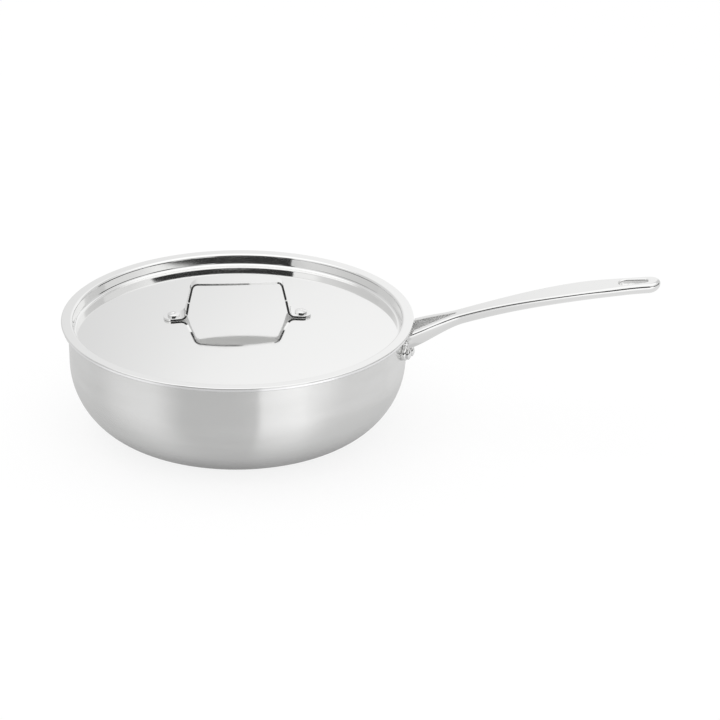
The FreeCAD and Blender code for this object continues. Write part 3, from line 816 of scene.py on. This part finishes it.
edge_side = strap_half(plan)
edge_level = (mid - strap_round - edge_margin) * np.array([[1, -1]])
ring = np.concatenate([
    on_strap(mid - strap_drop, strap_side), on_strap(edge_level, edge_side),
    on_strap(strap_drop - mid, strap_side)[:, ::-1], on_strap(-edge_level, -edge_side)], axis=1)
ring_faces = grid_faces(*ring.shape[:2], closed=True)[:, ::-1]
strap_buffed = np.ones(ring.shape[:2])
under_columns = strap_side.shape[1] + edge_level.shape[1] + np.arange(strap_side.shape[1])
strap_buffed[:, under_columns] = strap_drop[:, ::-1] > 0
grip = make_piece("grip_strap", turned_by(ring.reshape(-1, 3), lid_turn), ring_faces.tolist(),
                  buffed=strap_buffed.ravel())
weld(grip)
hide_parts("lid_grip")

# %% [markdown]
# ## What rides on what
# Everything that is riveted to the pan moves with the pan, and the lid takes its grip and its two
# rivets along when it lifts off.

# %% Bodies
on_pan = [*pan_pieces.values(), handle, foot_plate, *pan_rivets]
on_lid = [lid, grip, *lid_rivets]
for body, pieces in {"pan": on_pan, "lid": on_lid}.items():
    for piece in pieces:
        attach(piece, body)
print(len(on_pan), "pieces ride on the pan,", len(on_lid), "on the lid")

# %% [markdown]
# ## Finishes
# All of it is metal, so colour plays a small part and the surface a large one. Each finish is a
# metal shader whose roughness, bump and tone are varied by noise in the piece's own coordinates,
# at the scale that the real polishing or brushing leaves.


# %% Node helpers
def node(tree, kind, inputs=None, **settings):
    """Adds one node. An input is a number, a vector or another node's socket to link."""
    made = tree.nodes.new(kind)
    for key, value in settings.items():
        setattr(made, key, value)
    for key, value in (inputs or {}).items():
        if isinstance(value, bpy.types.NodeSocket):
            tree.links.new(value, made.inputs[key])
        else:
            made.inputs[key].default_value = value
    return made


def maths(tree, operation, *values):
    """The result of one sum, as a socket."""
    return node(tree, "ShaderNodeMath", dict(enumerate(values)), operation=operation).outputs[0]


def stretched(tree, value, low, high, to_low, to_high, smooth=False):
    """Maps a range of numbers to another range, held at both ends."""
    kind = "SMOOTHSTEP" if smooth else "LINEAR"
    return node(tree, "ShaderNodeMapRange", {
        "Value": value, "From Min": low, "From Max": high, "To Min": to_low, "To Max": to_high,
    }, interpolation_type=kind).outputs[0]


def mixed(tree, share, first, second, **settings):
    """first * (1 - share) + second * share, as a socket."""
    return node(tree, "ShaderNodeMix", {"Factor": share, "A": first, "B": second},
                **settings).outputs["Result"]


# %% Places on a piece
def object_place(tree):
    """The piece's own coordinates, as one vector socket."""
    return node(tree, "ShaderNodeTexCoord").outputs["Object"]


def axes_of(tree, vector):
    """The three numbers of a vector, as sockets."""
    split = node(tree, "ShaderNodeSeparateXYZ", {"Vector": vector})
    return [split.outputs[axis] for axis in "XYZ"]


def from_axis(tree, x, y):
    """Distance from the Z axis: sqrt(x^2 + y^2)."""
    return maths(tree, "SQRT", maths(tree, "ADD", maths(tree, "MULTIPLY", x, x),
                                     maths(tree, "MULTIPLY", y, y)))


def ring_grain(tree, across, around):
    """Coordinates in which noise becomes streaks that run round the Z axis: the distance from
    the axis plus the height counts fully, the place around the ring counts little."""
    x, y, z = axes_of(tree, object_place(tree))
    radius = from_axis(tree, x, y)
    least_radius = 0.002
    safe = maths(tree, "MAXIMUM", radius, least_radius)
    return node(tree, "ShaderNodeCombineXYZ", {
        "X": maths(tree, "MULTIPLY", maths(tree, "ADD", radius, z), across),
        "Y": maths(tree, "MULTIPLY", maths(tree, "DIVIDE", x, safe), around),
        "Z": maths(tree, "MULTIPLY", maths(tree, "DIVIDE", y, safe), around),
    }).outputs[0]


def noise(tree, vector, scale=1.0, detail=2.0):
    """Soft cloudy noise between about 0.3 and 0.7, at so many cells to a unit of the vector."""
    return node(tree, "ShaderNodeTexNoise", {
        "Vector": vector, "Scale": scale, "Detail": detail}).outputs["Fac"]


# %% Metal and what varies on it
noise_low, noise_high = 0.3, 0.7


def metal(name, colour, anisotropic=0.0, turn=0.0):
    """A metal shader in a new material, in its mean colour. Gives the material, its tree and
    the shader."""
    material = bpy.data.materials.new(name)
    material.use_nodes = True
    tree = material.node_tree
    shader = tree.nodes["Principled BSDF"]
    shader.inputs["Metallic"].default_value = 1.0
    shader.inputs["Base Color"].default_value = (*colour, 1)
    shader.inputs["Anisotropic"].default_value = anisotropic
    shader.inputs["Anisotropic Rotation"].default_value = turn
    return material, tree, shader


def buffing(tree):
    """The piece's own attribute: 1 where it is polished, 0 where it is left raw."""
    return node(tree, "ShaderNodeAttribute", attribute_name="buffed").outputs["Fac"]


def by_noise(tree, grain, low=0.0, high=1.0):
    """A number between two ends that follows a noise over its whole range."""
    return stretched(tree, grain, noise_low, noise_high, low, high)


def roughen(tree, shader, grain, low, high, raw=None):
    """Roughness between two values, following a noise, and a raw value where the piece isn't
    polished."""
    value = by_noise(tree, grain, low, high)
    if raw is not None:
        value = mixed(tree, buffing(tree), raw, value)
    tree.links.new(value, shader.inputs["Roughness"])


def tint(tree, shader, share, first, second):
    """Base colour between two greys, following a share between 0 and 1."""
    grey = mixed(tree, share, (*first, 1), (*second, 1), data_type="RGBA")
    tree.links.new(grey, shader.inputs["Base Color"])


def emboss(tree, shader, grain, strength, depth):
    """A bump of a real depth in metres, following a noise."""
    bump = node(tree, "ShaderNodeBump", {"Strength": strength, "Distance": depth, "Height": grain})
    tree.links.new(bump.outputs["Normal"], shader.inputs["Normal"])


# %% [markdown]
# ### Brushed steel of the body
# The outside is brushed while the pan turns, so its scratches run round it. Such grain blurs a
# reflection up and down but leaves it crisp from side to side, which is why the body shows
# upright soft panels of light. The shader's anisotropy gives that, with its tangent running round
# the axis and turned by a quarter. Fine ring noise adds the single strokes. The inside is brushed
# in the same way, a little coarser.

# %% Satin steel and inner steel
quarter_turn = 0.25


def brush_round(tree, shader):
    """Lets the shader's anisotropy follow rings about the Z axis."""
    tangent = node(tree, "ShaderNodeTangent", direction_type="RADIAL", axis="Z")
    tree.links.new(tangent.outputs["Tangent"], shader.inputs["Tangent"])


satin, tree, shader = metal(
    "satin_steel", (0.84, 0.84, 0.83), anisotropic=1.0, turn=quarter_turn)
strokes = noise(tree, ring_grain(tree, across=2600, around=6), detail=3.0)
clouds = by_noise(tree, noise(tree, ring_grain(tree, across=60, around=1.5)))
roughen(tree, shader, strokes, 0.225, 0.255)
tint(tree, shader, clouds, (0.815, 0.815, 0.808), (0.855, 0.855, 0.85))
emboss(tree, shader, strokes, strength=0.05, depth=0.00002)
brush_round(tree, shader)

inner_steel, tree, shader = metal(
    "inner_steel", (0.78, 0.78, 0.77), anisotropic=0.6, turn=quarter_turn)
strokes = noise(tree, ring_grain(tree, across=3200, around=8), detail=3.0)
clouds = by_noise(tree, noise(tree, ring_grain(tree, across=80, around=2)))
roughen(tree, shader, strokes, 0.25, 0.30)
tint(tree, shader, clouds, (0.75, 0.75, 0.74), (0.80, 0.80, 0.79))
emboss(tree, shader, strokes, strength=0.05, depth=0.00002)
brush_round(tree, shader)
print("made", satin.name, "and", inner_steel.name)

# %% [markdown]
# ### Aluminium of the core
# The core shows only as the middle line of the lip's edge, where the sheet was trimmed on the
# lathe. A cut edge is bright, and its marks run round it, so ring noise is enough.

# %% Aluminium
aluminium, tree, shader = metal("core_aluminium", (0.9, 0.9, 0.905))
cut = noise(tree, ring_grain(tree, across=4200, around=10))
roughen(tree, shader, cut, 0.1, 0.15)
tint(tree, shader, by_noise(tree, cut), (0.88, 0.88, 0.885), (0.92, 0.92, 0.925))
print("made", aluminium.name)

# %% [markdown]
# ### Polished steel of the lid, its grip and the rivets
# A buffed surface is a mirror with a faint haze: the polishing wheel leaves shallow swirls and
# handling leaves hairline scratches. Two noises at very different scales do that, one for the haze
# and one, stretched along the strokes, for the hairlines. The grip's underside is left raw, and
# the rivets are tumbled, which leaves fine dents instead of strokes.

# %% Mirror finishes
polished, tree, shader = metal("polished_steel", (0.90, 0.90, 0.895))
haze = noise(tree, object_place(tree), scale=45.0, detail=4.0)
hairs = noise(tree, ring_grain(tree, across=1800, around=5))
roughen(tree, shader, haze, 0.045, 0.09)
emboss(tree, shader, hairs, strength=0.02, depth=0.000004)

strap_steel, tree, shader = metal("strap_steel", (0.89, 0.89, 0.885))
along_strap = node(tree, "ShaderNodeMapping", {
    "Vector": object_place(tree), "Rotation": (0, 0, math.radians(-lid_turn)),
    "Scale": (60, 2400, 900)}).outputs[0]
hairs = noise(tree, along_strap)
roughen(tree, shader, hairs, 0.06, 0.1, raw=0.5)
tint(tree, shader, buffing(tree), (0.73, 0.73, 0.725), (0.89, 0.89, 0.885))
emboss(tree, shader, hairs, strength=0.03, depth=0.000006)

rivet_steel, tree, shader = metal("rivet_steel", (0.86, 0.86, 0.855))
tumbled = noise(tree, object_place(tree), scale=1500.0, detail=4.0)
roughen(tree, shader, tumbled, 0.08, 0.16)
emboss(tree, shader, tumbled, strength=0.05, depth=0.00002)
print("made", polished.name, strap_steel.name, "and", rivet_steel.name)

# %% [markdown]
# ### Cast steel of the handle
# A casting is ground and buffed along its length. It keeps a slight waviness that a pressed sheet
# does not have, and its strokes run along the handle. The lean of the strokes follows the arc
# closely enough when the pattern is simply stretched along X. The walls of the fork stay raw.

# %% Cast finish
cast_steel, tree, shader = metal("cast_steel", (0.87, 0.87, 0.865))
place = object_place(tree)
along_bar = node(tree, "ShaderNodeMapping", {"Vector": place, "Scale": (40, 2200, 1400)}).outputs[0]
strokes = noise(tree, along_bar, detail=3.0)
waves = noise(tree, place, scale=55.0, detail=1.0)
wave_share = 3.0
relief = maths(tree, "ADD", strokes, maths(tree, "MULTIPLY", waves, wave_share))
roughen(tree, shader, strokes, 0.09, 0.15, raw=0.8)
tint(tree, shader, buffing(tree), (0.87, 0.87, 0.865), (0.85, 0.85, 0.845))
emboss(tree, shader, relief, strength=0.05, depth=0.00001)
print("made", cast_steel.name)

# %% [markdown]
# ### Which piece takes which finish
# The slots carry the same names as in the record, so that every new piece also says which finish
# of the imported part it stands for.

# %% Hand the finishes out
finishes = {
    "satin_steel": (satin, [pan_pieces["outer_skin"]]),
    "core_aluminium": (aluminium, [pan_pieces["core"]]),
    "inner_steel": (inner_steel, [pan_pieces["inner_skin"]]),
    "cast_steel": (cast_steel, [handle, foot_plate]),
    "rivet_steel": (rivet_steel, pan_rivets + lid_rivets),
    "polished_steel": (polished, [lid]),
    "strap_steel": (strap_steel, [grip]),
}
for slot, (material, pieces) in finishes.items():
    for piece in pieces:
        piece.data.materials.append(material)
print(len(finishes), "finishes handed out")

# %% [markdown]
# ## The studio
# Steel is a picture of the room around it, so the room gets as much care as the pan. It is a white
# tent, open towards the camera. The opening reflects as dark lines along the edges and in the
# lid's sunk wall, and the rest reflects as white and pale grey. The tent could be modelled, but it
# is drawn on the world, by direction: that throws no shadow and stays sharp. Only the metal sees
# it. The camera sees plain white, and plain white lights the floor.

# %% World and its directions
world = bpy.data.worlds.new("white_tent")
bpy.context.scene.world = world
world.use_nodes = True
world.cycles.sampling_method = "NONE"
tree = world.node_tree
x, y, z = axes_of(tree, node(tree, "ShaderNodeTexCoord").outputs["Generated"])
DEGREES = math.degrees(1)
forward = maths(tree, "MULTIPLY", y, -1.0)
bearing = maths(tree, "MULTIPLY", maths(tree, "ARCTAN2", x, forward), DEGREES)
height = maths(tree, "MULTIPLY", maths(tree, "ARCSINE", z), DEGREES)
print("world", world.name, "by bearing, 0 at the front and 90 at the right, and by height")


# %% Panel helpers
def panels(tree, value, low, high, levels):
    """Greys that follow a value between two ends: each level is given with its place."""
    ramp = node(tree, "ShaderNodeValToRGB", {"Fac": stretched(tree, value, low, high, 0, 1)})
    stops = ramp.color_ramp.elements
    while len(stops) < len(levels):
        stops.new(1.0)
    for stop, (place, level) in zip(stops, levels):
        stop.position = (place - low) / (high - low)
        stop.color = (level, level, level, 1)
    return ramp.outputs["Color"]


def round_panels(levels):
    """Greys that follow the bearing, all the way round the tent."""
    return panels(tree, bearing, -180, 180, levels)


def window(value, low, low_soft, high, high_soft):
    """One inside a range and nought outside it, with soft edges."""
    rise = stretched(tree, value, low - low_soft, low + low_soft, 0, 1, smooth=True)
    fall = stretched(tree, value, high - high_soft, high + high_soft, 1, 0, smooth=True)
    return maths(tree, "MULTIPLY", rise, fall)


def patch(bearings, heights):
    """A rectangle of the tent's wall: a window in bearing times a window in height."""
    return maths(tree, "MULTIPLY", window(bearing, *bearings), window(height, *heights))


# %% [markdown]
# ### Walls and roof of the tent
# The flaps at the sides hang in slightly different greys, and the handle and the rims show them as
# slow changes of tone. One flap left of the opening catches the light and is white. The lamps
# shine through the roof, so it is a little brighter than white paper.

# %% Walls and roof
flaps = round_panels([
    (-180, 0.9), (-120, 0.66), (-80, 0.71), (-60, 0.79), (-48, 0.78), (-36, 0.70), (-26, 1.0),
    (66, 1.0), (80, 0.88), (90, 0.83), (120, 0.80), (180, 0.9)])
white_level, roof_level = 1.0, 1.15
roof_begin, roof_full = 44, 50
bright_flap = patch((-54, 5, -30, 1), (-30, 1, 23, 1))
roof = stretched(tree, height, roof_begin, roof_full, 0, 1, smooth=True)
sides = mixed(tree, roof, mixed(tree, bright_flap, flaps, white_level), roof_level)
print("roof from", roof_begin, "degrees up")

# %% [markdown]
# ### The opening and the white card beside it
# The opening is an arch: for each bearing there is a height below which it is dark. It is tall in
# front and runs on low to both sides, which draws the thin dark lines along the lid's bends. A
# white card stands in it, right of the camera, and lights the right side of the bowl.

# %% Opening
arch = [(-120, -10), (-105, 6), (-90, 12), (-34.5, 12), (-34, 34), (-10, 36), (8, 36), (21, 31),
        (34, 28.5), (50, 26), (67, 21.5), (71, 17), (150, 17), (170, -10)]
arch_foot, arch_scale, arch_soft = -10, 100, 1.5
opening_level = 0.035
arch_share = round_panels([(place, (top - arch_foot) / arch_scale) for place, top in arch])
arch_top = maths(tree, "MULTIPLY_ADD", arch_share, arch_scale, arch_foot)
below_arch = maths(tree, "SUBTRACT", arch_top, height)
opening_mask = stretched(tree, below_arch, -arch_soft, arch_soft, 0, 1, smooth=True)
right_card = patch((20.5, 1, 51, 3), (-30, 1, 15.5, 1))
arched = mixed(tree, opening_mask, sides, opening_level)
upper = mixed(tree, right_card, arched, white_level)
print("opening", max(top for _, top in arch), "degrees high at most")

# %% [markdown]
# ### The table
# Below the horizon the bowl's side reflects the table top. It is grey below the opening and white
# where the flap and the card shine on it. These are the soft upright panels on the bowl. Straight
# down, near the pan, it settles to one grey.

# %% Table
table = round_panels([
    (-180, 0.74), (-103, 0.72), (-86, 0.87), (-65, 0.92), (-53, 0.92), (-40, 0.70), (-33, 0.64),
    (19.5, 0.665), (20.7, 0.98), (37, 1.08), (55, 1.15), (73, 0.85), (80, 0.80), (180, 0.74)])
near_level, near_height, far_height, least_share = 0.70, -78, -30, 0.05
horizon_soft = 3
far_share = stretched(tree, height, near_height, far_height, least_share, 1)
lower = mixed(tree, far_share, near_level, table)
above = stretched(tree, height, -horizon_soft, 0, 0, 1, smooth=True)
tent = mixed(tree, above, lower, upper)
seen_by_metal = node(tree, "ShaderNodeLightPath").outputs["Is Glossy Ray"]
level = mixed(tree, seen_by_metal, white_level, tent)
tree.links.new(level, tree.nodes["Background"].inputs["Color"])
print("tent drawn on", world.name, "with", len(tree.nodes), "nodes")

# %% [markdown]
# ## Cards near the pan
# The world is endlessly far away, so a reflection of it does not change along a flat surface. What
# stands near the pan does change, and it is made of real rectangles. The metal alone sees them.
# Their glow is given as a colour and is no lamp, so they leave the floor and its shadow alone.


# %% Card makers
def flat_card(name, corners):
    """A rectangle from four corners in metres."""
    mesh = bpy.data.meshes.new(name)
    mesh.from_pydata(corners, [], [(0, 1, 2, 3)])
    card = bpy.data.objects.new(name, mesh)
    bpy.context.scene.collection.objects.link(card)
    return card


def lying_card(name, left, right, front, back, lift):
    """A level rectangle between two places along X and two along Y, lifted by so much."""
    return flat_card(name, [(left, front, lift), (right, front, lift),
                            (right, back, lift), (left, back, lift)])


def for_metal(card, name):
    """Hides a card from all but the metal and gives it a material without a shader. Gives the
    material's tree and the card's own X, Y and Z."""
    card.visible_camera = card.visible_diffuse = card.visible_shadow = False
    material = bpy.data.materials.new(name)
    material.use_nodes = True
    material.cycles.emission_sampling = "NONE"
    tree = material.node_tree
    tree.nodes.remove(tree.nodes["Principled BSDF"])
    card.data.materials.append(material)
    return tree, axes_of(tree, object_place(tree))


def surface(tree, shader):
    """Makes a shader the surface of its material."""
    tree.links.new(shader.outputs[0], tree.nodes["Material Output"].inputs["Surface"])


# %% [markdown]
# ### Backdrop
# A tall card behind the pan fades from grey at the left to white, and is grey again at the far
# right. The flat flange and the dome reflect it, which gives them their slow change from side to
# side. The fade leans, as if light fell on the card at a slant.

# %% Backdrop card
card_back, card_wide, card_tall = 0.9, 1.6, 1.4
fade_lean, fade_height = 0.33, 0.45
backdrop = flat_card("backdrop_card", [
    (-card_wide, card_back, 0), (card_wide, card_back, 0),
    (card_wide, card_back, card_tall), (-card_wide, card_back, card_tall)])
tree, (x, y, z) = for_metal(backdrop, "backdrop_paper")
risen = maths(tree, "SUBTRACT", z, fade_height)
across_card = maths(tree, "ADD", x, maths(tree, "MULTIPLY", risen, fade_lean))
fade = panels(tree, across_card, -0.6, 1.6, [
    (-0.6, 0.70), (-0.36, 0.78), (-0.11, 0.895), (-0.02, 0.935), (0.1, 0.965), (0.3, 0.995),
    (0.44, 0.97), (0.52, 0.76), (0.7, 0.70), (1.6, 0.66)])
surface(tree, node(tree, "ShaderNodeEmission", {"Color": fade}))
print("backdrop", 2 * card_wide, "by", card_tall, "m")

# %% [markdown]
# ### Painted light and shade under the handle
# The belly of the handle looks down on the table beside the pan. A strip lies there as painted
# light: it glows white in front, and grey further back as painted shade, where the pan shades the
# table. It gives the belly its bright lower line.

# %% Near card
strip_left, strip_right, strip_front, strip_back, strip_lift = 0.185, 0.8, -3.0, 0.6, 0.0005
near_card = lying_card("near_card", strip_left, strip_right, strip_front, strip_back, strip_lift)
tree, (x, y, z) = for_metal(near_card, "near_glow_and_painted_shade")
# painted light and shade: a white glow in front, and grey further back as the pan's painted shadow
# on the table
fade = panels(tree, y, strip_front, strip_back, [
    (strip_front, 1.15), (-0.21, 1.15), (-0.186, 1.05), (-0.165, 0.87), (-0.14, 0.83)])
surface(tree, node(tree, "ShaderNodeEmission", {"Color": fade}))
print("strip", round(strip_right - strip_left, 3), "m wide")

# %% [markdown]
# ### Shade under the bowl
# Close to the base the bowl reflects its own shade on the table. A clear sheet on the table stands
# for it: it lets less light through the nearer it is to the pan's axis.

# %% Shade card
shade_half, shade_lift = 0.4, 0.0006
shade_card = lying_card("shade_card", -shade_half, shade_half, -shade_half, shade_half, shade_lift)
tree, (x, y, z) = for_metal(shade_card, "base_shade")
under_pan = panels(tree, from_axis(tree, x, y), 0, shade_half, [
    (0.1, 0.36), (0.119, 0.58), (0.135, 0.82), (0.16, 0.87), (0.2, 0.92), (0.3, 1.0)])
surface(tree, node(tree, "ShaderNodeBsdfTransparent", {"Color": under_pan}))
print("shade reaches", shade_half, "m from the axis")

# %% [markdown]
# ## Floor and lamp
# The floor is pale and keeps a soft shadow. For the camera it adds white of its own, so that it
# melts into the background. One large lamp above makes the shadow, and the metal does not see it.

# %% Floor
floor_half, floor_grey, floor_rough, white_share = 4.0, 0.9, 0.9, 0.84
floor = lying_card("floor", -floor_half, floor_half, -floor_half, floor_half, 0)
floor.visible_glossy = False
floor_paint = bpy.data.materials.new("floor_paint")
floor_paint.use_nodes = True
floor_paint.cycles.emission_sampling = "NONE"
floor.data.materials.append(floor_paint)
tree = floor_paint.node_tree
shader = tree.nodes["Principled BSDF"]
shader.inputs["Base Color"].default_value = (floor_grey, floor_grey, floor_grey, 1)
shader.inputs["Roughness"].default_value = floor_rough
shader.inputs["Specular IOR Level"].default_value = 0.0
white = node(tree, "ShaderNodeEmission", {"Color": (1, 1, 1, 1)})
by_camera = node(tree, "ShaderNodeLightPath").outputs["Is Camera Ray"]
surface(tree, node(tree, "ShaderNodeMixShader", {
    0: maths(tree, "MULTIPLY", by_camera, white_share), 1: shader.outputs[0], 2: white.outputs[0]}))
print("floor", 2 * floor_half, "m square")

# %% Lamp
lamp_size, lamp_watts, lamp_place = 2.0, 12.0, (-0.3, -0.2, 2.2)
lamp_data = bpy.data.lights.new("softbox", "AREA")
lamp_data.size = lamp_size
lamp_data.energy = lamp_watts
lamp = bpy.data.objects.new("softbox", lamp_data)
lamp.location = lamp_place
lamp.visible_glossy = False
bpy.context.scene.collection.objects.link(lamp)
print("lamp of", lamp_watts, "W,", lamp_place[2], "m up")

# %% [markdown]
# ## Camera
# A long lens from a little above the rim. Its height was solved from the lid's ellipse, and its
# bearing from the handle, which points slightly away.

# %% Camera
lens_length, sensor_width, far_clip, camera_distance = 292.96, 36.0, 50.0, 5.0
target = np.array([0.10399, 0.00818, 0.05768])
backwards = np.array([0.0719, -0.9136, 0.4003])
backwards = backwards / np.linalg.norm(backwards)
camera_data = bpy.data.cameras.new("camera")
camera_data.lens = lens_length
camera_data.sensor_width = sensor_width
camera_data.clip_end = far_clip
camera = bpy.data.objects.new("camera", camera_data)
camera.location = target + camera_distance * backwards
camera.rotation_euler = Vector(-backwards).to_track_quat("-Z", "Y").to_euler()
bpy.context.scene.collection.objects.link(camera)
bpy.context.scene.camera = camera
bpy.context.scene.view_settings.view_transform = "Standard"
print("camera looks down by", round(math.degrees(math.asin(backwards[2])), 1), "degrees")
